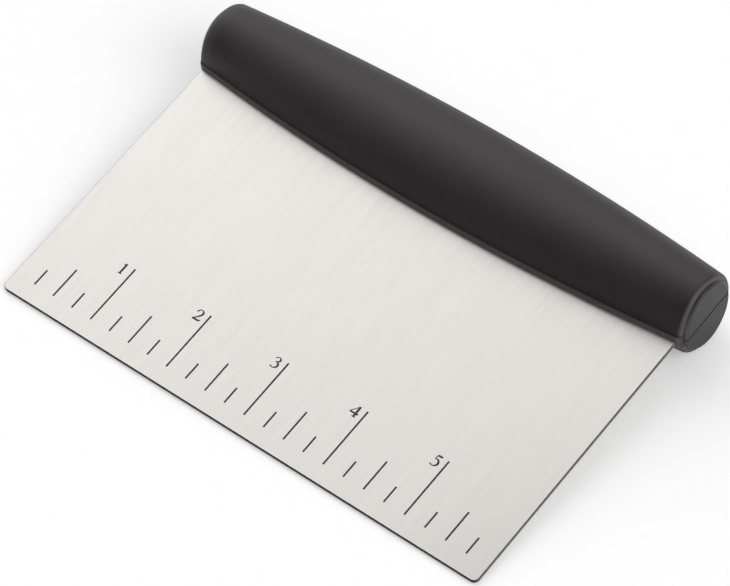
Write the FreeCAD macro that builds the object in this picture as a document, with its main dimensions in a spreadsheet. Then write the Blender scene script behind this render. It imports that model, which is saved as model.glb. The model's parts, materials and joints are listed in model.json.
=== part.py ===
import FreeCAD, Part
import math
import os
import re

import Sketcher
from FreeCAD import Matrix, Placement, Rotation, Vector

# Bench scraper: a flat steel blade with an inch ruler, held in a hard two-part core that a soft
# barrel-shaped grip covers. Nothing on it moves.
#
# Design frame, before the resting tilt: +X runs along the scraping edge, +Y from that edge towards
# the grip and +Z out of the ruled face. The origin is the centre of the scraping edge's face.
# Every sub-part is then tilted about X, so that the object lies on a level bench as a real one
# does: on the lower corner of its scraping edge and on the back of its grip.

os.makedirs("parts", exist_ok=True)
doc = FreeCAD.newDocument("BenchScraper")

DIMENSIONS = (
    ("blade_width", 153.2, "scraping edge, end to end"),
    ("blade_thickness", 1.2, "steel sheet"),
    ("blade_shoulder", 82.6, "edge to the shoulders, where the full width ends inside the lip"),
    ("blade_corner", 1.6, "radius of the two outer corners"),
    ("blade_bevel", 0.15, "broken edges all round the sheet"),
    ("tang_width", 138.0, "narrower part of the sheet inside the core"),
    ("tang_top", 97.0, "edge to the top of the tang"),
    ("grip_axis", 91.65, "edge to the axis of the grip"),
    ("grip_length", 155.4, "rim to rim"),
    ("grip_middle", 29.5, "height across the middle, in the plane of the blade"),
    ("grip_end", 20.9, "height across each end, before rounding"),
    ("grip_depth", 23.6, "thickness from front to back, the same all along"),
    ("grip_wall", 1.6, "soft layer over the core"),
    ("grip_round", 1.1, "rounding of the outer rim at each end"),
    ("lip_width", 5.0, "hard lip that shows along the blade, front to back"),
    ("lip_proud", 0.4, "how far the lip stands out of the grip"),
    ("lip_gap", 0.12, "groove each side of the lip"),
    ("disc_proud", 0.9, "end discs of the core, out from the rims of the grip"),
    ("disc_round", 0.5, "rounding of the end discs' rims"),
    ("core_joint", 0.10, "joint between the two halves of the core"),
    ("joint_groove", 0.5, "width and depth of the groove that the joint shows on an end disc"),
    ("core_clearance", 0.05, "core to the sheet inside it, all round"),
    ("pocket_length", 34.0, "hollows that keep the core's walls even"),
    ("pocket_height", 12.0, "the same hollows, along the blade's plane"),
    ("pocket_depth", 7.2, "the same hollows, from the joint plane"),
    ("rivet_count", 3, "rivets through core and tang"),
    ("rivet_pitch", 50.0, "rivet to rivet"),
    ("rivet_height", 90.5, "edge to the line of rivets"),
    ("rivet_shank", 4.0, "diameter between the heads"),
    ("rivet_head", 7.0, "diameter of both heads"),
    ("rivet_head_thickness", 1.2, "each head, along the rivet"),
    ("rivet_grip", 15.6, "length between the heads"),
    ("rivet_clearance", 0.1, "radial, round shank and heads"),
    ("rivet_access", 2.0, "open space over each head, out to the soft layer"),
    ("cut_margin", 2.0, "how far a cutting form runs on past what it cuts"),
    ("inch", 25.4, "ruler unit"),
    ("ruler_inches", 6, "length that the ruler covers"),
    ("mark_depth", 0.08, "etched lines and figures, filled flush with black"),
    ("line_width", 0.52, "ruler lines"),
    ("line_start", 5.1, "edge to the foot of every line"),
    ("quarter_line", 5.15, "length"),
    ("half_line", 9.4, "length"),
    ("inch_line", 17.9, "length"),
    ("figure_height", 3.3, "numerals"),
    ("figure_base", 19.8, "edge to the foot of the numerals"),
    ("figure_offset", 2.75, "middle of a numeral, left of its line"),
    ("figure_weight", 1.35, "heaviness of the numerals, where 1 is a light pen"),
)

sheet = doc.addObject("Spreadsheet::Sheet", "Size")
for row, (alias, number, meaning) in enumerate(DIMENSIONS, start=1):
    sheet.set(f"A{row}", meaning)
    sheet.set(f"B{row}", str(number))
    sheet.setAlias(f"B{row}", alias)
doc.recompute()


def size(formula):
    """The value of a formula in the sheet's aliases."""
    return float(sheet.evalExpression(formula))


def in_sheet(formula):
    """The same formula as other objects write it, with the sheet's name before each alias."""
    return re.sub(r"[a-z]\w*", lambda alias: f"Size.{alias.group()}", formula)


def bind(item, **formulas):
    """Tie properties of an object to formulas; a name such as Placement_Base_x is a sub-property."""
    for name, formula in formulas.items():
        item.setExpression(name.replace("_", "."), in_sheet(formula))


# ---------------------------------------------------------------- building blocks


def add_box(name, length, width, height, x, y, z):
    """A box whose sizes and low corner are formulas."""
    box = doc.addObject("Part::Box", name)
    bind(box, Length=length, Width=width, Height=height)
    bind(box, Placement_Base_x=x, Placement_Base_y=y, Placement_Base_z=z)
    return box


def add_rod(name, radius, length, x, y, z):
    """An upright cylinder whose sizes and foot are formulas."""
    rod = doc.addObject("Part::Cylinder", name)
    bind(rod, Radius=radius, Height=length)
    bind(rod, Placement_Base_x=x, Placement_Base_y=y, Placement_Base_z=z)
    return rod


def combine(kind, name, base, tool):
    """A Part::Cut of tool from base, or the Part::Common of both."""
    result = doc.addObject(kind, name)
    result.Base = base
    result.Tool = tool
    result.Refine = False
    return result


def group(kind, name, members):
    """A Part::MultiFuse or Part::Compound of several objects."""
    result = doc.addObject(kind, name)
    if kind == "Part::Compound":
        result.Links = members
    else:
        result.Shapes = members
        result.Refine = False
    return result


def add_shape(name, shape):
    """A plain Part::Feature around a shape made with Part's own functions."""
    feature = doc.addObject("Part::Feature", name)
    feature.Shape = shape
    return feature


def origin_feature(body, role):
    """One of the body's own origin planes or axes."""
    return next(item for item in body.Origin.OriginFeatures if item.Role == role)


def add_sketch(body, name):
    """A sketch on the body's XY plane."""
    sketch = body.newObject("Sketcher::SketchObject", name)
    sketch.AttachmentSupport = [(origin_feature(body, "XY_Plane"), "")]
    sketch.MapMode = "FlatFace"
    return sketch


def add_rectangle(sketch, width, top):
    """A rectangle that stands on the X axis, centred on the Y axis; both sizes are formulas."""
    half, height = size(width) / 2, size(top)
    corners = [Vector(-half, 0), Vector(half, 0), Vector(half, height), Vector(-half, height)]
    for start, end in zip(corners, corners[1:] + corners[:1]):
        sketch.addGeometry(Part.LineSegment(start, end), False)
    bottom, right, upper, left = range(4)
    for line, following in ((bottom, right), (right, upper), (upper, left), (left, bottom)):
        sketch.addConstraint(Sketcher.Constraint("Coincident", line, 2, following, 1))
    for line in (right, left):
        sketch.addConstraint(Sketcher.Constraint("Vertical", line))
    for line in (bottom, upper):
        sketch.addConstraint(Sketcher.Constraint("Horizontal", line))
    sketch.addConstraint(Sketcher.Constraint("Symmetric", bottom, 1, bottom, 2, -1, 1))
    across = sketch.addConstraint(Sketcher.Constraint("DistanceX", bottom, 1, bottom, 2, 2 * half))
    along = sketch.addConstraint(Sketcher.Constraint("DistanceY", right, 1, right, 2, height))
    sketch.setExpression(f"Constraints[{across}]", in_sheet(width))
    sketch.setExpression(f"Constraints[{along}]", in_sheet(top))


def add_pad(body, sketch, name, length):
    """A pad of the sketch, half to each side of its plane."""
    pad = body.newObject("PartDesign::Pad", name)
    pad.Profile = sketch
    pad.SideType = "Symmetric"
    bind(pad, Length=length)
    sketch.Visibility = False
    doc.recompute()
    return pad


# ---------------------------------------------------------------- ruler


def add_lines(name, length, steps):
    """Ruler lines of one length, at the given numbers of quarter inches from the ruler's start."""
    lines = []
    for step in steps:
        middle = f"({step} / 4 - ruler_inches / 2) * inch"
        lines.append(
            add_box(
                f"{name}_{step}",
                "line_width", length, "mark_depth",
                f"{middle} - line_width / 2", "line_start", "blade_thickness / 2 - mark_depth",
            )
        )
    return group("Part::Compound", name, lines)


def stroke(*points):
    """A pen stroke as a flat face, through points of (across, up, width of a light pen)."""
    weight = size("figure_weight")
    path = Part.BSplineCurve()
    path.interpolate([Vector(x, y) for x, y, _ in points])
    sides = {1: [], -1: []}
    for x, y, width in points:
        along = path.tangent(path.parameter(Vector(x, y)))[0]
        for side, rail in sides.items():
            rail.append(Vector(x, y) + Vector(-along.y, along.x) * side * width * weight / 2)
    rails = {}
    for side, rail in sides.items():
        rails[side] = Part.BSplineCurve()
        rails[side].interpolate(rail)
    edges = [
        rails[1].toShape(),
        Part.makeLine(sides[1][-1], sides[-1][-1]),
        rails[-1].toShape(),
        Part.makeLine(sides[-1][0], sides[1][0]),
    ]
    return Part.Face(Part.Wire(Part.__sortEdges__(edges)))


# Each numeral is a few strokes in a box one unit high, centred across. HAIR is the pen's thin
# stroke and STEM its thick one.
HAIR, STEM = 0.06, 0.14


def foot(x):
    """The flat serif under an upright stem."""
    return stroke((x - 0.17, 0.02, HAIR), (x + 0.17, 0.02, HAIR))


def bowl(top):
    """The round lower part that 3 and 5 share, from its upper start to its thick end."""
    return stroke(
        (-0.12, top, HAIR), (0.13, top - 0.05, 0.11), (0.25, 0.30, STEM),
        (0.10, 0.06, 0.09), (-0.12, 0.02, HAIR), (-0.29, 0.09, 0.13),
    )


NUMERALS = {
    1: [stroke((0, 0, STEM), (0, 1, STEM)), stroke((-0.18, 0.86, HAIR), (0, 0.96, 0.08)), foot(0)],
    2: [
        stroke(
            (-0.29, 0.70, 0.12), (-0.20, 0.90, 0.08), (0.02, 0.97, HAIR), (0.21, 0.76, STEM),
            (0.08, 0.45, 0.11), (-0.14, 0.20, 0.08), (-0.31, 0.05, HAIR),
        ),
        stroke((-0.34, 0.06, 0.12), (0.28, 0.06, 0.12)),
        stroke((0.24, 0.06, 0.12), (0.36, 0.20, HAIR)),
    ],
    3: [
        stroke(
            (-0.27, 0.80, 0.10), (-0.17, 0.94, HAIR), (0.02, 0.97, HAIR),
            (0.17, 0.80, 0.13), (0.07, 0.62, 0.09), (-0.10, 0.54, HAIR),
        ),
        bowl(0.56),
    ],
    4: [
        stroke((0.14, 0, STEM), (0.14, 1, STEM)),
        stroke((0.12, 0.97, HAIR), (-0.38, 0.34, HAIR)),
        stroke((-0.41, 0.31, 0.11), (0.38, 0.31, 0.11)),
        foot(0.14),
    ],
    5: [
        stroke((-0.14, 0.93, 0.12), (0.28, 0.95, 0.12)),
        stroke((-0.12, 0.97, HAIR), (-0.20, 0.60, HAIR)),
        stroke((-0.21, 0.60, HAIR), (-0.10, 0.62, HAIR)),
        bowl(0.62),
    ],
}


def add_numeral(number):
    """One numeral as a thin solid, beside its inch line."""
    strokes = NUMERALS[number]
    face = strokes[0].fuse(strokes[1:]).removeSplitter()
    grow = Matrix()
    grow.scale(size("figure_height"), size("figure_height"), 1)
    face = face.transformGeometry(grow)
    face.translate(
        Vector(
            (number - size("ruler_inches / 2")) * size("inch") - size("figure_offset"),
            size("figure_base"),
            size("blade_thickness / 2 - mark_depth"),
        )
    )
    return add_shape(f"numeral_{number}", face.extrude(Vector(0, 0, size("mark_depth"))))


quarters = range(1, 4 * int(size("ruler_inches")))
inch_lines = add_lines("inch_lines", "inch_line", [q for q in quarters if q % 4 == 0])
half_lines = add_lines("half_lines", "half_line", [q for q in quarters if q % 4 == 2])
quarter_lines = add_lines("quarter_lines", "quarter_line", [q for q in quarters if q % 2])
numeral_forms = group("Part::Compound", "numeral_forms", [add_numeral(n) for n in NUMERALS])


# ---------------------------------------------------------------- blade and rivets


def rivet_x(index):
    """Formula for the place of a rivet along the blade."""
    return f"({index} - (rivet_count - 1) / 2) * rivet_pitch"


def rivet_places():
    return range(int(size("rivet_count")))


def add_rivet_form(name, index, spare="0", access="0"):
    """A rivet with its two heads.

    For the holes it goes through it grows by a spare radius, and its heads by the access length.
    """
    x = rivet_x(index)
    head = f"rivet_head / 2 + {spare}"
    thickness = f"rivet_head_thickness + {access}"
    return group(
        "Part::MultiFuse",
        name,
        [
            add_rod(f"{name}_shank", f"rivet_shank / 2 + {spare}", "rivet_grip + rivet_head_thickness",
                    x, "rivet_height", "(rivet_grip + rivet_head_thickness) / -2"),
            add_rod(f"{name}_head", head, thickness, x, "rivet_height", "rivet_grip / 2"),
            add_rod(f"{name}_tail", head, thickness, x, "rivet_height", f"rivet_grip / -2 - ({thickness})"),
        ],
    )


def make_blank():
    """The steel sheet before etching: full width up to the shoulders, then the tang."""
    body = doc.addObject("PartDesign::Body", "blade_blank")
    outlines = (("plate", "blade_width", "blade_shoulder"), ("tang", "tang_width", "tang_top"))
    for name, width, top in outlines:
        outline = add_sketch(body, f"{name}_outline")
        add_rectangle(outline, width, top)
        pad = add_pad(body, outline, f"{name}_pad", "blade_thickness")
    round_corners(body, pad)
    break_edges(body)
    drill_tang(body)
    return body


def edge_names(shape, wanted):
    """Names of the edges whose middle satisfies a test."""
    return [
        f"Edge{number}"
        for number, edge in enumerate(shape.Edges, start=1)
        if wanted(edge, edge.valueAt((edge.FirstParameter + edge.LastParameter) / 2))
    ]


def round_corners(body, pad):
    """Round the two corners at the ends of the scraping edge."""
    corners = edge_names(pad.Shape, lambda edge, middle: abs(middle.z) < 1e-6 and abs(middle.y) < 1e-6)
    fillet = body.newObject("PartDesign::Fillet", "corner_rounding")
    fillet.Base = (pad, corners)
    bind(fillet, Radius="blade_corner")
    doc.recompute()


def break_edges(body):
    """Take the sharpness off every edge of the exposed sheet, on both faces."""
    base = body.Tip
    shoulder = size("blade_shoulder")
    edges = edge_names(base.Shape, lambda edge, middle: abs(middle.z) > 1e-6 and middle.y < shoulder - 1e-6)
    chamfer = body.newObject("PartDesign::Chamfer", "edge_bevel")
    chamfer.Base = (base, edges)
    bind(chamfer, Size="blade_bevel")
    doc.recompute()


def drill_tang(body):
    """One rivet hole, repeated along the tang."""
    undrilled = body.Shape.Volume
    sketch = add_sketch(body, "rivet_hole_outline")
    start = Vector(size(rivet_x(0)), size("rivet_height"))
    sketch.addGeometry(Part.Circle(start, Vector(0, 0, 1), size("rivet_shank") / 2), False)
    radius = sketch.addConstraint(Sketcher.Constraint("Radius", 0, size("rivet_shank") / 2))
    across = sketch.addConstraint(Sketcher.Constraint("DistanceX", -1, 1, 0, 3, start.x))
    up = sketch.addConstraint(Sketcher.Constraint("DistanceY", -1, 1, 0, 3, start.y))
    sketch.setExpression(f"Constraints[{radius}]", in_sheet("rivet_shank / 2 + rivet_clearance"))
    sketch.setExpression(f"Constraints[{across}]", in_sheet(rivet_x(0)))
    sketch.setExpression(f"Constraints[{up}]", in_sheet("rivet_height"))
    pocket = body.newObject("PartDesign::Pocket", "rivet_hole")
    pocket.Profile = sketch
    pocket.Type = "ThroughAll"
    pocket.SideType = "Symmetric"
    doc.recompute()
    pattern = body.newObject("PartDesign::LinearPattern", "rivet_holes")
    pattern.Originals = [pocket]
    pattern.Direction = (origin_feature(body, "X_Axis"), [""])
    bind(pattern, Length="(rivet_count - 1) * rivet_pitch", Occurrences="rivet_count")
    body.Tip = pattern
    doc.recompute()
    hole = math.pi * size("rivet_shank / 2 + rivet_clearance") ** 2 * size("blade_thickness")
    drilled_away = undrilled - body.Shape.Volume
    if abs(drilled_away - size("rivet_count") * hole) > 0.01 * hole:
        raise RuntimeError("the tang lacks a rivet hole")


ruler_marks = group(
    "Part::Compound", "ruler_marks", [inch_lines, half_lines, quarter_lines, numeral_forms]
)
blade_form = combine("Part::Cut", "blade_form", make_blank(), ruler_marks)
rivet_forms = group(
    "Part::Compound", "rivet_forms", [add_rivet_form(f"rivet_{i}", i) for i in rivet_places()]
)


# ---------------------------------------------------------------- grip and core

def barrel(inset, rounding=0, overrun=0):
    """The barrel of the grip, shrunk all round by an inset.

    Its end rims are rounded, or it runs on past both ends of the grip to cut clean through.
    """
    stations = 7
    reach = size("grip_length") / 2
    sections = []
    for station in range(stations):
        x = (2 * station / (stations - 1) - 1) * (reach + overrun)
        crown = (size("grip_middle") - size("grip_end")) * (1 - (x / reach) ** 2)
        half_height = (size("grip_end") + crown) / 2 - inset
        sections.append(oval(x, half_height, size("grip_depth") / 2 - inset))
    solid = Part.makeLoft(sections, True)
    return round_rims(solid, rounding) if rounding else solid


def round_rims(solid, radius):
    """Round the rims of both ends of a barrel."""
    rims = [edge for edge in solid.Edges if edge.BoundBox.XLength < 1e-3]
    return solid.makeFillet(radius, rims)


def oval(x, half_height, half_depth):
    """An elliptical section across the grip's axis; either of its two sizes may be the larger.

    It starts an eighth of a turn round, so that its seam is clear of the blade's plane.
    """
    knots = 16
    points = []
    for knot in range(knots):
        turn = 2 * math.pi * (knot / knots + 1 / 8)
        y = size("grip_axis") + half_height * math.cos(turn)
        points.append(Vector(x, y, half_depth * math.sin(turn)))
    curve = Part.BSplineCurve()
    curve.interpolate(points, True)
    return Part.Wire(curve.toShape())


def add_slab(name, spare):
    """The space under the grip's axis that the lip takes, grown by a spare width on each side."""
    return add_box(
        name,
        "grip_length + 2 * cut_margin", "grip_middle", f"lip_width + 2 * {spare}",
        "grip_length / -2 - cut_margin", "grip_axis - grip_middle", f"lip_width / -2 - {spare}",
    )


def make_sleeve():
    """The soft layer: a barrel open at both ends, slotted along the blade for the lip."""
    outer = add_shape("sleeve_outside", barrel(0, size("grip_round")))
    inner = add_shape("sleeve_inside", barrel(size("grip_wall"), overrun=size("cut_margin")))
    tube = combine("Part::Cut", "sleeve_tube", outer, inner)
    return combine("Part::Cut", "sleeve_form", tube, add_slab("lip_slot", "lip_gap"))


def make_core():
    """Both halves of the core in one piece: barrel, lip and every hollow, before it is split."""
    inside = add_shape("core_barrel", barrel(size("grip_wall"), overrun=size("cut_margin")))
    length = "grip_length + 2 * disc_proud"
    limits = add_box(
        "core_limits", length, "2 * grip_middle", "2 * grip_depth",
        f"({length}) / -2", "grip_axis - grip_middle", "-1 * grip_depth",
    )
    middle = combine("Part::Common", "core_middle", inside, limits)
    doc.recompute()
    rounded = add_shape("core_rounded", round_rims(middle.Shape, size("disc_round")))
    rounding = size("grip_round + lip_proud")
    proud = add_shape("lip_barrel", barrel(-size("lip_proud"), rounding))
    strip = combine("Part::Common", "lip_strip", proud, add_slab("lip_slab", "0"))
    lip = combine("Part::Cut", "lip", strip, inside)
    whole = group("Part::MultiFuse", "core_whole", [rounded, lip])
    return combine("Part::Cut", "core", whole, group("Part::MultiFuse", "core_hollows", hollows()))


def hollows():
    """Everything that is cut out of the core: blade, rivets, joint grooves and wall-evening pockets."""
    shapes = []
    for name, width, top in (
        ("plate", "blade_width + 2 * core_clearance", "blade_shoulder"),
        ("tang", "tang_width + 2 * core_clearance", "tang_top"),
    ):
        shapes.append(
            add_box(
                f"{name}_space", width, f"{top} + core_clearance",
                "blade_thickness + 2 * core_clearance",
                f"({width}) / -2", "0", "blade_thickness / -2 - core_clearance",
            )
        )
    for index in rivet_places():
        shapes.append(
            add_rivet_form(f"rivet_space_{index}", index, "rivet_clearance", "rivet_access")
        )
    for side in (-1, 1):
        disc = f"{side} * (grip_length / 2 + disc_proud) - joint_groove"
        shapes.append(
            add_box(
                f"joint_groove_{side + 1}", "2 * joint_groove", "grip_end - 2 * grip_wall",
                "joint_groove", disc, "grip_axis - grip_end / 2 + grip_wall", "joint_groove / -2",
            )
        )
        pocket = f"{side} * rivet_pitch / 2 - pocket_length / 2"
        shapes.append(
            add_box(
                f"pocket_{side + 1}", "pocket_length", "pocket_height", "2 * pocket_depth",
                pocket, "grip_axis - pocket_height / 2", "-1 * pocket_depth",
            )
        )
    return shapes


def make_core_half(name, side, core):
    """The half of the core on one side of the joint plane: +1 is the ruled side, -1 the back."""
    start = "core_joint / 2" if side > 0 else "core_joint / -2 - grip_depth"
    space = add_box(
        f"{name}_space", "grip_length + 2 * cut_margin", "3 * grip_middle", "grip_depth",
        "grip_length / -2 - cut_margin", "grip_axis - 1.5 * grip_middle", start,
    )
    return combine("Part::Common", f"{name}_form", core, space)


sleeve_form = make_sleeve()
core_form = make_core()


# ---------------------------------------------------------------- resting tilt and export


def resting_tilt():
    """Angle in degrees between the blade and the bench.

    The bench passes through the lower corner of the scraping edge and touches the elliptical
    section at the middle of the grip, which gives a quadratic in the tangent of the angle.
    """
    reach = size("grip_axis")
    corner = size("blade_thickness / 2")
    half_height = size("grip_middle / 2")
    half_depth = size("grip_depth / 2")
    square = reach**2 - half_height**2
    root = math.sqrt((reach * corner) ** 2 + square * (half_depth**2 - corner**2))
    return math.degrees(math.atan((root - reach * corner) / square))


def add_sub_part(label, form):
    """A finished piece: a form of the design frame, tilted as the object rests on a bench."""
    piece = group("Part::Compound", f"{label}_piece", [form])
    piece.Label = label
    piece.Placement = Placement(Vector(0, 0, 0), Rotation(Vector(1, 0, 0), resting_tilt()))
    return piece


def check_states():
    """Stop if the document holds an object that failed."""
    for item in doc.Objects:
        if {"Invalid", "Error"} & set(item.State):
            raise RuntimeError(f"{item.Name} failed: {item.State}")


def export(piece):
    """Write one finished piece, once its shape is known to be sound."""
    shape = piece.Shape
    if shape.isNull() or not shape.isValid() or not shape.Solids:
        raise RuntimeError(f"{piece.Label} has no valid solid")
    shape.exportStep(f"parts/{piece.Label}.step")
    print(piece.Label, len(shape.Solids), "solids", round(shape.Volume, 2), "mm3")


pieces = [
    add_sub_part("blade", blade_form),
    add_sub_part("grip_sleeve", sleeve_form),
    add_sub_part("core_front", make_core_half("front_half", 1, core_form)),
    add_sub_part("core_back", make_core_half("back_half", -1, core_form)),
    add_sub_part("tang_rivets", rivet_forms),
    add_sub_part("inch_ticks", inch_lines),
    add_sub_part("half_inch_ticks", half_lines),
    add_sub_part("quarter_inch_ticks", quarter_lines),
    add_sub_part("numerals", numeral_forms),
]
doc.recompute()
check_states()
for piece in pieces:
    export(piece)
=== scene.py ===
import json
import math

import bmesh
import bpy
from mathutils import Matrix, Vector


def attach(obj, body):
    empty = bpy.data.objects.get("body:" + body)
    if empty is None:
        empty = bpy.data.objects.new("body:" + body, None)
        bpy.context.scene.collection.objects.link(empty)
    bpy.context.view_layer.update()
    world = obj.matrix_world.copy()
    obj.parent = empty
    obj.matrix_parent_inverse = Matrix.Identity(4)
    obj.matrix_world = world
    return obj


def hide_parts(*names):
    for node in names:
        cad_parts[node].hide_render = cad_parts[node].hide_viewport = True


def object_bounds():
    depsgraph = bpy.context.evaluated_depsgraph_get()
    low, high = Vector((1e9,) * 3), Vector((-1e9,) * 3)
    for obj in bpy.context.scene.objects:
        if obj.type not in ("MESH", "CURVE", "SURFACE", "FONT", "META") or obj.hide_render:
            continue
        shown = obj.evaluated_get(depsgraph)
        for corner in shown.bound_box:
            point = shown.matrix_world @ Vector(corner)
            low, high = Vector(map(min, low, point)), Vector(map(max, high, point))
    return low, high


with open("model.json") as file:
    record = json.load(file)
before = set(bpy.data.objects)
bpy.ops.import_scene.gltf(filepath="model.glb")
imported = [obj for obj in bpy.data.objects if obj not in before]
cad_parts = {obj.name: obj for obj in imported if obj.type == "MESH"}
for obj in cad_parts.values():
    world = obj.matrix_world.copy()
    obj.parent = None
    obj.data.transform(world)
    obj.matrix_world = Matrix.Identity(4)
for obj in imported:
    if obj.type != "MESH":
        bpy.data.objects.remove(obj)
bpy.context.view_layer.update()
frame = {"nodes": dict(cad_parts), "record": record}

# A bench scraper as it lies on a bench, in metres. The blade is at a small angle to the bench, so
# pieces and textures are laid out in the blade's own axes and then turned into the row frame. In
# the blade's axes x runs along the scraping edge, y from the edge towards the grip and z out of the
# ruled face, and the origin is the middle of the edge.
MM = 0.001


def blade_to_row():
    """The turn about X that takes the blade's own axes to the row frame."""
    edge = next(mount for mount in frame["record"]["mounts"] if mount["name"] == "scraping_edge")
    outward = Vector(edge["axis"])
    return Matrix.Rotation(math.atan2(-outward.z, -outward.y), 4, "X")


BLADE_TO_ROW = blade_to_row()
BLADE_X = BLADE_TO_ROW @ Vector((1, 0, 0))
BLADE_Y = BLADE_TO_ROW @ Vector((0, 1, 0))
BLADE_Z = BLADE_TO_ROW @ Vector((0, 0, 1))


def local_box(node):
    """Lowest and highest corner of a CAD node in the blade's own axes."""
    to_blade = BLADE_TO_ROW.inverted()
    points = [to_blade @ vertex.co for vertex in frame["nodes"][node].data.vertices]
    low = Vector([min(point[axis] for point in points) for axis in range(3)])
    high = Vector([max(point[axis] for point in points) for axis in range(3)])
    return low, high


# ---------------------------------------------------------------- shader graphs


class Graph:
    """Adds shader nodes to a material or a world and links them, around one shader."""

    def __init__(self, owner, shader, output):
        owner.use_nodes = True
        self.owner = owner
        self.tree = owner.node_tree
        self.tree.nodes.clear()
        self.shader = self.add(shader)
        self.link(self.shader.outputs[0], self.add(output).inputs["Surface"])

    def add(self, kind, **settings):
        node = self.tree.nodes.new(kind)
        for name, value in settings.items():
            setattr(node, name, value)
        return node

    def link(self, source, target):
        self.tree.links.new(source, target)

    def feed(self, value, target):
        """Set an input to a plain value, or link it when the value is another node's output."""
        if isinstance(value, bpy.types.NodeSocket):
            self.link(value, target)
        else:
            target.default_value = value

    def set(self, name, value):
        """Feed an input of the shader."""
        self.feed(value, self.shader.inputs[name])

    def blade_coordinates(self):
        """Object coordinates turned into the blade's own axes."""
        turn = self.add("ShaderNodeVectorRotate", rotation_type="X_AXIS")
        turn.inputs["Angle"].default_value = -BLADE_TO_ROW.to_euler().x
        self.link(self.add("ShaderNodeTexCoord").outputs["Object"], turn.inputs["Vector"])
        return turn.outputs[0]

    def split(self, vector):
        """The x, y and z of a vector."""
        node = self.add("ShaderNodeSeparateXYZ")
        self.link(vector, node.inputs[0])
        return node.outputs

    def dot(self, vector, direction):
        node = self.add("ShaderNodeVectorMath", operation="DOT_PRODUCT")
        self.link(vector, node.inputs[0])
        node.inputs[1].default_value = direction
        return node.outputs["Value"]

    def facing(self, direction, normal="Normal"):
        """How squarely the surface faces a direction or its opposite, from 0 to 1."""
        normals = self.add("ShaderNodeNewGeometry").outputs[normal]
        return self.maths("ABSOLUTE", self.dot(normals, direction))

    def noise(self, coordinates, size, detail=3.0, roughness=0.5):
        """Noise from 0 to 1 whose features are size long on x, y and z."""
        stretch = self.add("ShaderNodeMapping", vector_type="POINT")
        stretch.inputs["Scale"].default_value = [1 / length for length in size]
        self.link(coordinates, stretch.inputs["Vector"])
        texture = self.add("ShaderNodeTexNoise")
        texture.inputs["Scale"].default_value = 1.0
        texture.inputs["Detail"].default_value = detail
        texture.inputs["Roughness"].default_value = roughness
        self.link(stretch.outputs[0], texture.inputs["Vector"])
        return texture.outputs["Fac"]

    def spread(self, value, low, high, start=0.3, end=0.7):
        """Map start to end onto low to high; noise mostly lies between 0.3 and 0.7."""
        node = self.add("ShaderNodeMapRange", clamp=True)
        self.link(value, node.inputs["Value"])
        limits = {"From Min": start, "From Max": end, "To Min": low, "To Max": high}
        for name, number in limits.items():
            node.inputs[name].default_value = number
        return node.outputs[0]

    def maths(self, operation, first, second=0.0):
        node = self.add("ShaderNodeMath", operation=operation)
        self.feed(first, node.inputs[0])
        self.feed(second, node.inputs[1])
        return node.outputs[0]

    def mix(self, share, first, second):
        """A colour between first, where the share is 0, and second, where it is 1."""
        node = self.add("ShaderNodeMix", data_type="RGBA")
        first_colour, second_colour = node.inputs[6:8]
        self.feed(share, node.inputs["Factor"])
        self.feed(first, first_colour)
        self.feed(second, second_colour)
        return node.outputs[2]

    def bump(self, height, depth, below=None):
        """A bump whose height input is 0 to 1 and stands for depth metres."""
        node = self.add("ShaderNodeBump")
        node.inputs["Strength"].default_value = 1.0
        node.inputs["Distance"].default_value = depth
        self.link(height, node.inputs["Height"])
        if below is not None:
            self.link(below, node.inputs["Normal"])
        return node.outputs[0]


def surface(name):
    """The graph of a new material, around a Principled shader."""
    return Graph(bpy.data.materials.new(name), "ShaderNodeBsdfPrincipled", "ShaderNodeOutputMaterial")


def grey(level, warmth=0.0):
    """A near-neutral colour; positive warmth moves it towards red."""
    return (level * (1 + warmth), level, level * (1 - warmth), 1.0)


# ---------------------------------------------------------------- materials

STEEL_WARMTH = 0.038
STEEL_DULL = grey(0.722, STEEL_WARMTH)
STEEL_BRIGHT = grey(0.806, STEEL_WARMTH)
STEEL_STREAK = grey(0.69, STEEL_WARMTH)
STEEL_SPECK = grey(0.66, STEEL_WARMTH)
# Painted shade: the tone the face darkens towards at its right side and beside its scraping edge.
STEEL_SHADED = grey(0.54, STEEL_WARMTH)
SHEARED_DARK = grey(0.035, 0.03)
SHEARED_LIGHT = grey(0.11, 0.03)
# Painted light: the lighter tone of the sheared ends that face sideways, where they catch the light.
SHEARED_SIDE_LIT = grey(0.26, 0.02)


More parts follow.
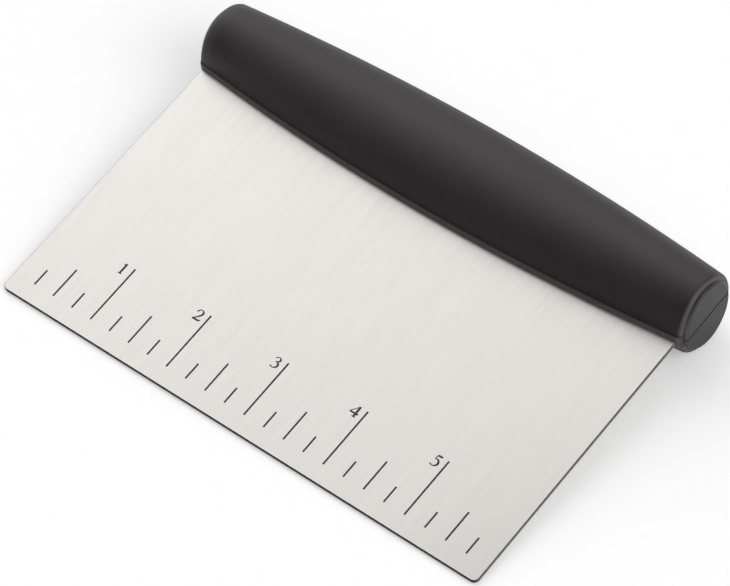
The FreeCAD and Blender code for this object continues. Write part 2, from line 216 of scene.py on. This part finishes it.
def brushed_steel(name, width):
    """Satin stainless sheet, brushed from the edge to the grip, faintly clouded, with painted shade and
    sheared edges; the sheared ends that face sideways are painted lighter, as painted light.
    """
    graph = surface(name)
    place = graph.blade_coordinates()
    streaks = graph.noise(place, (0.25 * MM, 16 * MM, 2 * MM), detail=4.0, roughness=0.6)
    grain = graph.noise(place, (0.35 * MM, 0.9 * MM, 0.5 * MM), roughness=0.6)
    clouds = graph.noise(place, (14 * MM, 30 * MM, 10 * MM), roughness=0.55)
    flatness = graph.facing(BLADE_Z, "True Normal")
    cut_edge = graph.spread(flatness, 1.0, 0.0, start=0.72, end=0.97)

    face = graph.mix(graph.spread(clouds, 0.0, 1.0), STEEL_DULL, STEEL_BRIGHT)
    face = graph.mix(graph.spread(streaks, 0.0, 0.28), face, STEEL_STREAK)
    face = graph.mix(graph.spread(grain, 0.0, 0.22), face, STEEL_SPECK)
    # Painted shade over the face, strongest at the right and near the scraping edge.
    face = graph.mix(shading(graph, place, width), face, STEEL_SHADED)
    sheared = graph.mix(graph.spread(grain, 0.0, 1.0), SHEARED_DARK, SHEARED_LIGHT)
    # Painted light on the sheared ends that face sideways.
    sideways = graph.spread(graph.facing(BLADE_X), 0.0, 1.0, start=0.7, end=1.0)
    sheared = graph.mix(sideways, sheared, SHEARED_SIDE_LIT)
    graph.set("Base Color", graph.mix(cut_edge, face, sheared))
    graph.set("Metallic", 1.0)

    satin = graph.maths("ADD", graph.spread(clouds, 0.40, 0.46), graph.spread(streaks, -0.04, 0.05))
    graph.set("Roughness", graph.maths("ADD", satin, graph.maths("MULTIPLY", cut_edge, 0.1)))
    graph.set("Anisotropic", 0.35)
    tangent = graph.add("ShaderNodeCombineXYZ")
    for axis, value in zip("XYZ", BLADE_X):
        tangent.inputs[axis].default_value = value
    graph.set("Tangent", tangent.outputs[0])
    brushing = graph.bump(streaks, 0.006 * MM)
    graph.set("Normal", graph.bump(grain, 0.004 * MM, brushing))
    return graph.owner


# How much of STEEL_SHADED, the painted shade, the face takes on: at its right side, and beside the
# scraping edge, where the right corner is shaded most. The painted shade fades out over the two
# reaches.
SIDE_SHADE = 0.24
EDGE_SHADE = 0.08
CORNER_SHADE = 0.34
EDGE_REACH = 60 * MM
CORNER_REACH = 30 * MM


def shading(graph, place, width):
    """Painted shade: the slight darkening of the sheet from left to right, and towards its scraping
    edge.
    """
    x, y, _ = graph.split(place)
    right = width / 2
    across = graph.spread(x, 0.0, SIDE_SHADE, start=-right, end=right)
    edge = graph.spread(x, EDGE_SHADE, CORNER_SHADE, start=right - CORNER_REACH, end=right)
    nearness = graph.spread(y, 1.0, 0.0, start=0.0, end=EDGE_REACH)
    return graph.maths("ADD", across, graph.maths("MULTIPLY", nearness, edge))


def etch_fill(name):
    """Black fill of the etched lines: matte, slightly uneven."""
    graph = surface(name)
    place = graph.blade_coordinates()
    speckle = graph.noise(place, (0.2 * MM,) * 3, detail=4.0, roughness=0.7)
    graph.set("Base Color", graph.mix(graph.spread(speckle, 0.0, 1.0), grey(0.018), grey(0.045)))
    graph.set("Roughness", graph.spread(speckle, 0.5, 0.8))
    graph.set("Normal", graph.bump(speckle, 0.01 * MM))
    return graph.owner


# The elastomer is a black with a trace of violet.
GRIP_DARK = (0.0138, 0.0106, 0.0122, 1.0)
GRIP_LIGHT = (0.0205, 0.0160, 0.0182, 1.0)
GRIP_DUST = (0.037, 0.031, 0.034, 1.0)
# Painted light: the lighter tone of the rims and the left end, where their rounding catches the light.
GRIP_PAINTED_LIGHT = (0.084, 0.076, 0.076, 1.0)
GRIP_SHINE = (1.0, 0.93, 0.96, 1.0)


def soft_touch_rubber(name, length):
    """Matte black elastomer with a very fine grain; its rims and left end are painted lighter, as
    painted light where they catch the light.
    """
    graph = surface(name)
    place = graph.blade_coordinates()
    grain = graph.noise(place, (0.28 * MM,) * 3, roughness=0.6)
    patches = graph.noise(place, (16 * MM, 9 * MM, 9 * MM), detail=4.0, roughness=0.6)
    base = graph.mix(graph.spread(patches, 0.0, 1.0), GRIP_DARK, GRIP_LIGHT)
    base = graph.mix(graph.spread(grain, 0.0, 0.3), base, GRIP_DUST)
    x, _, _ = graph.split(place)
    # Painted light: the left end and the rims that face along x are lighter where they catch the light.
    left_end = graph.spread(x, 0.8, 0.0, start=-length / 2, end=-length / 2 + 4 * MM)
    base = graph.mix(left_end, base, GRIP_PAINTED_LIGHT)
    rims = graph.spread(graph.facing(BLADE_X), 0.0, 0.85, start=0.25, end=0.9)
    graph.set("Base Color", graph.mix(rims, base, GRIP_PAINTED_LIGHT))
    rough = graph.maths("ADD", graph.spread(patches, 0.47, 0.55), graph.spread(grain, -0.03, 0.04))
    graph.set("Roughness", rough)
    graph.set("Specular IOR Level", 0.60)
    graph.set("Specular Tint", GRIP_SHINE)
    graph.set("Sheen Weight", 0.06)
    graph.set("Sheen Roughness", 0.5)
    graph.set("Normal", graph.bump(grain, 0.012 * MM))
    return graph.owner


PLASTIC_DARK = (0.031, 0.029, 0.032, 1.0)
PLASTIC_LIGHT = (0.040, 0.038, 0.042, 1.0)
# Painted light: the lighter tone of the faces along y, such as the lip beside the bright blade.
LIP_PAINTED_LIGHT = (0.118, 0.107, 0.103, 1.0)


def moulded_plastic(name):
    """Hard satin black plastic with a fine texture; the lip, which faces the edge, is painted lighter,
    as painted light.
    """
    graph = surface(name)
    place = graph.blade_coordinates()
    texture = graph.noise(place, (0.16 * MM,) * 3, detail=2.0)
    flow = graph.noise(place, (22 * MM, 6 * MM, 6 * MM), detail=2.0)
    base = graph.mix(graph.spread(flow, 0.0, 1.0), PLASTIC_DARK, PLASTIC_LIGHT)
    # Painted light on the lip.
    lip = graph.spread(graph.facing(BLADE_Y), 0.0, 1.0, start=0.3, end=0.9)
    graph.set("Base Color", graph.mix(lip, base, LIP_PAINTED_LIGHT))
    graph.set("Roughness", graph.spread(flow, 0.40, 0.47))
    graph.set("Normal", graph.bump(texture, 0.008 * MM))
    return graph.owner


def plain_steel(name):
    """Turned steel of the hidden rivets, with faint tool rings."""
    graph = surface(name)
    place = graph.blade_coordinates()
    rings = graph.noise(place, (0.6 * MM, 0.6 * MM, 0.15 * MM), detail=2.0)
    graph.set("Base Color", graph.mix(graph.spread(rings, 0.0, 1.0), grey(0.48), grey(0.60)))
    graph.set("Metallic", 1.0)
    graph.set("Roughness", graph.spread(rings, 0.28, 0.42))
    graph.set("Normal", graph.bump(rings, 0.01 * MM))
    return graph.owner


def bench_paper(name):
    """Seamless pale studio paper that glows a little for the camera alone."""
    graph = surface(name)
    place = graph.add("ShaderNodeTexCoord").outputs["Object"]
    fibre = graph.noise(place, (3 * MM,) * 3)
    graph.set("Base Color", graph.mix(graph.spread(fibre, 0.0, 1.0), grey(0.90), grey(0.93)))
    graph.set("Roughness", 0.9)
    graph.set("Specular IOR Level", 0.1)
    seen = graph.add("ShaderNodeLightPath").outputs["Is Camera Ray"]
    graph.set("Emission Color", grey(1.0))
    graph.set("Emission Strength", graph.maths("MULTIPLY", seen, 0.30))
    return graph.owner


def dress(node, material):
    """Give a carried-over CAD node its material in every slot."""
    mesh = frame["nodes"][node].data
    if not mesh.materials:
        mesh.materials.append(material)
    for index in range(len(mesh.materials)):
        mesh.materials[index] = material


# ---------------------------------------------------------------- meshes


def add_mesh(name, mesh, material):
    """A new smooth-shaded object from a finished bmesh."""
    data = bpy.data.meshes.new(name)
    mesh.to_mesh(data)
    mesh.free()
    data.materials.append(material)
    data.polygons.foreach_set("use_smooth", [True] * len(data.polygons))
    piece = bpy.data.objects.new(name, data)
    bpy.context.scene.collection.objects.link(piece)
    return piece


def soften_edges(piece, width, steps=3, angle=40.0):
    """Round the edges of a piece that are sharper than an angle in degrees."""
    bevel = piece.modifiers.new("edge_rounding", "BEVEL")
    bevel.width = width
    bevel.segments = steps
    bevel.limit_method = "ANGLE"
    bevel.angle_limit = math.radians(angle)
    bevel.harden_normals = True


# ---------------------------------------------------------------- soft grip

# Sizes of the grip that the boxes of the CAD solids do not give.
MIDDLE_HEIGHT = 29.5 * MM
END_HEIGHT = 20.9 * MM
RIM_ROUND = 1.1 * MM
SLOT_WIDTH = 5.24 * MM
SLOT_EDGE_ROUND = 0.25 * MM

# The mesh keeps this far inside the CAD solid's box.
SHRINK = 0.01 * MM

LENGTH_STEPS = 150
RIM_STEPS = 9
AROUND_STEPS = 120


class Barrel:
    """The grip's barrel in the blade's own axes: its depth is constant and its height is crowned."""

    def __init__(self):
        _, outside = local_box("grip_sleeve")
        _, inside = local_box("core_front")
        self.reach = outside.x - SHRINK
        self.half_depth = outside.z - SHRINK
        self.wall = outside.z - inside.z
        self.axis = outside.y - SHRINK - MIDDLE_HEIGHT / 2

    def half_height(self, x):
        """Half the barrel's height at a place along it."""
        return (MIDDLE_HEIGHT - (MIDDLE_HEIGHT - END_HEIGHT) * (x / self.reach) ** 2) / 2


def sleeve_stations(barrel):
    """Places along the grip, each with how far the outside draws in there: the rims are round."""
    rim = []
    for step in range(RIM_STEPS + 1):
        turn = math.pi / 2 * step / RIM_STEPS
        rim.append((-barrel.reach + RIM_ROUND * (1 - math.cos(turn)), RIM_ROUND * (1 - math.sin(turn))))
    start = -barrel.reach + RIM_ROUND
    between = [(start - 2 * start * step / LENGTH_STEPS, 0.0) for step in range(1, LENGTH_STEPS)]
    return rim + between + [(-x, drawn_in) for x, drawn_in in reversed(rim)]


def sleeve_section(barrel, x, drawn_in):
    """One closed C-shaped section: outside from slot wall to slot wall, then back along the inside."""
    points = []
    for inset, order in ((drawn_in, 1), (barrel.wall, -1)):
        half_height = barrel.half_height(x) - inset
        half_depth = barrel.half_depth - inset
        start = math.asin(SLOT_WIDTH / 2 / half_depth)
        for step in range(AROUND_STEPS + 1)[::order]:
            turn = start + (2 * math.pi - 2 * start) * step / AROUND_STEPS
            y = barrel.axis - half_height * math.cos(turn)
            points.append(Vector((x, y, half_depth * math.sin(turn))))
    return points


def build_sleeve(barrel, material):
    """The soft grip as a clean mesh: a tube with rounded rims, open at both ends and along the slot."""
    mesh = bmesh.new()
    rings = []
    for x, drawn_in in sleeve_stations(barrel):
        points = sleeve_section(barrel, x, drawn_in)
        rings.append([mesh.verts.new(BLADE_TO_ROW @ point) for point in points])
    for ring, following in zip(rings, rings[1:]):
        sides = zip(ring, ring[1:] + ring[:1], following[1:] + following[:1], following)
        for corners in sides:
            mesh.faces.new(corners)
    for ring in (rings[0], rings[-1]):
        outside = ring[: AROUND_STEPS + 1]
        inside = ring[:AROUND_STEPS:-1]
        for corners in zip(outside, inside, inside[1:], outside[1:]):
            mesh.faces.new(corners)
    bmesh.ops.recalc_face_normals(mesh, faces=mesh.faces)
    piece = add_mesh("soft_grip", mesh, material)
    soften_edges(piece, SLOT_EDGE_ROUND)
    return piece


# ---------------------------------------------------------------- floor, light and camera

FLOOR_SIZE = 8.0


def build_floor():
    """A wide level sheet of paper just under the object."""
    low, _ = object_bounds()
    half = FLOOR_SIZE / 2
    mesh = bmesh.new()
    corners = [(-half, -half), (half, -half), (half, half), (-half, half)]
    mesh.faces.new([mesh.verts.new((x, y, low.z)) for x, y in corners])
    add_mesh("floor", mesh, bench_paper("studio_paper"))


# Soft lights far away around the object: what each is, where it stands (azimuth from the front,
# anticlockwise seen from above, and elevation, in degrees), how narrow its glow is and how bright.
SOFT_LIGHTS = (
    ("main light behind on the left", 225, 50, 8.0, 1.38),
    ("low panel on the left", 255, 5, 4.0, 1.58),
    ("panel on the right", 90, 35, 8.0, 2.87),
)
BACKDROP = 1.0


def direction(azimuth, elevation):
    """Unit vector towards a place around the object; azimuth 0 is the front, 90 is +X."""
    around, up = math.radians(azimuth), math.radians(elevation)
    return Vector((math.sin(around) * math.cos(up), -math.cos(around) * math.cos(up), math.sin(up)))


def build_world():
    """Soft lights in a dark room; the camera itself sees a plain white backdrop."""
    world = bpy.data.worlds.new("studio")
    bpy.context.scene.world = world
    graph = Graph(world, "ShaderNodeBackground", "ShaderNodeOutputWorld")
    place = graph.add("ShaderNodeTexCoord").outputs["Generated"]
    light = 0.0
    for _, azimuth, elevation, narrowness, brightness in SOFT_LIGHTS:
        beside = graph.maths("SUBTRACT", graph.dot(place, direction(azimuth, elevation)), 1.0)
        glow = graph.maths("EXPONENT", graph.maths("MULTIPLY", beside, narrowness))
        light = graph.maths("ADD", light, graph.maths("MULTIPLY", glow, brightness))
    seen = graph.add("ShaderNodeLightPath").outputs["Is Camera Ray"]
    light = graph.maths("MULTIPLY", light, graph.maths("SUBTRACT", 1.0, seen))
    backdrop = graph.maths("MULTIPLY", seen, BACKDROP)
    graph.set("Color", grey(1.0))
    graph.set("Strength", graph.maths("ADD", light, backdrop))


# The camera looks at a point of the ruled face, given in the blade's own axes, from an azimuth and
# elevation like those of the lights, and is rolled about its own axis, all in degrees.
CAMERA_AIM = (3.05 * MM, 49.8 * MM)
CAMERA_AZIMUTH = 43.76
CAMERA_ELEVATION = 51.19
CAMERA_ROLL = -5.95
CAMERA_DISTANCE = 1.0002
CAMERA_LENS = 197.15
CAMERA_SENSOR = 36.0
CAMERA_CLIP = (0.05, 50.0)


def build_camera():
    """The camera: a long lens high to the front right."""
    _, blade_top = local_box("blade")
    aim = BLADE_TO_ROW @ Vector((*CAMERA_AIM, blade_top.z))
    back = direction(CAMERA_AZIMUTH, CAMERA_ELEVATION)
    data = bpy.data.cameras.new("camera")
    data.sensor_width = CAMERA_SENSOR
    data.lens = CAMERA_LENS
    data.clip_start, data.clip_end = CAMERA_CLIP
    camera = bpy.data.objects.new("camera", data)
    place = Matrix.Translation(aim + back * CAMERA_DISTANCE)
    turn = (-back).to_track_quat("-Z", "Y").to_matrix().to_4x4()
    roll = Matrix.Rotation(math.radians(CAMERA_ROLL), 4, "Z")
    camera.matrix_world = place @ turn @ roll
    bpy.context.scene.collection.objects.link(camera)
    bpy.context.scene.camera = camera


# ---------------------------------------------------------------- assembly


def width_of(node):
    """Length along X of a CAD node that is centred there."""
    _, high = local_box(node)
    return high.x * 2


steel = brushed_steel("satin_steel", width_of("blade"))
rubber = soft_touch_rubber("soft_touch_rubber", width_of("grip_sleeve"))
plastic = moulded_plastic("moulded_plastic")
ink = etch_fill("etch_fill")

dress("blade", steel)
dress("tang_rivets", plain_steel("rivet_steel"))
for half in ("core_front", "core_back"):
    dress(half, plastic)
for marks in ("inch_ticks", "half_inch_ticks", "quarter_inch_ticks", "numerals"):
    dress(marks, ink)

grip = build_sleeve(Barrel(), rubber)
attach(grip, "root")
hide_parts("grip_sleeve")

build_floor()
build_world()
build_camera()
bpy.context.scene.view_settings.view_transform = "Standard"
